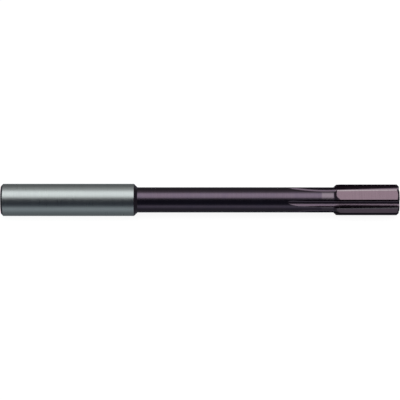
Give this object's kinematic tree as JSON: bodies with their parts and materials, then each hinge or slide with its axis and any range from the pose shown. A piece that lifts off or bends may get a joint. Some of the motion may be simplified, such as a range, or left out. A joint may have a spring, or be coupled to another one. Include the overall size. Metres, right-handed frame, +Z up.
{
  "type": "machine reamer",
  "caption": "Straight-shank machine reamer: plain clamping shank, recessed neck and short straight-fluted cutting head with lead chamfer.",
  "frame": {"origin": "on the tool's axis, in the plane of the shank's rear end face, where the rear centre hole opens", "axes": "+X along the tool's axis from the shank towards the cutting tip, +Z up from the surface that the tool lies on"},
  "size_m": [0.148, 0.012, 0.012],
  "materials": {
    "tool_steel": "ground satin steel on the shank, glossy violet-black hard coating on the neck and the cutting head"
  },
  "bodies": {
    "root": {"reamer": "tool_steel"}
  },
  "joints": []
}
